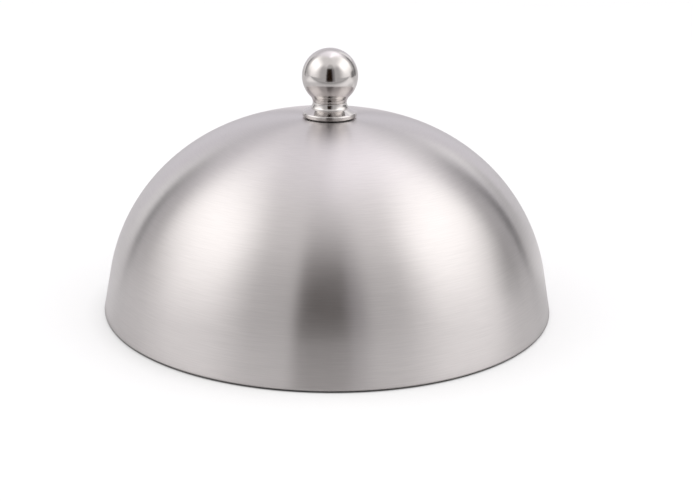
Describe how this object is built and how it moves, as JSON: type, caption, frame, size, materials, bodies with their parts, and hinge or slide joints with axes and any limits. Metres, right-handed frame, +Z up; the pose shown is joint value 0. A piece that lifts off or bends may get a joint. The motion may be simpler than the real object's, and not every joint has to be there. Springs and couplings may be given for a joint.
{
  "type": "melting dome",
  "caption": "Round brushed steel dome that traps heat and steam over food on a griddle, open below, with a polished ball knob screwed to its crown.",
  "frame": {"origin": "centre of the rim circle, in the plane that the rim stands on", "axes": "+Z up along the dome's axis, through the knob; X and Y are free to choose on a round part"},
  "size_m": [0.24, 0.24, 0.1398],
  "materials": {
    "brushed_dome": "stainless sheet, fine brush lines round the axis, satin",
    "polished_knob": "stainless, mirror polished",
    "plain_steel": "stainless hardware, bright as rolled",
    "gasket": "dark heat-proof silicone, matt"
  },
  "bodies": {
    "dome": {"dome_shell": "brushed_dome", "fixing_screw": "plain_steel", "plain_washer": "plain_steel", "spring_washer": "plain_steel"},
    "gasket": {"seal_washer": "gasket"},
    "knob": {"ball_knob": "polished_knob", "knob_foot": "polished_knob", "knob_nut": "plain_steel"}
  },
  "joints": [
    {"name": "knob_turn", "type": "hinge", "parent": "dome", "child": "gasket", "pos_m": [0, 0, 0.1036], "axis": [0, 0, 1], "range_deg": [0, 3240]},
    {"name": "knob_rise", "type": "slide", "parent": "gasket", "child": "knob", "axis": [0, 0, 1], "range_m": [0, 0.0072]}
  ],
  "couplings": [
    {"joint": "knob_turn", "follows": "knob_rise", "rad_per_m": 7854}
  ]
}
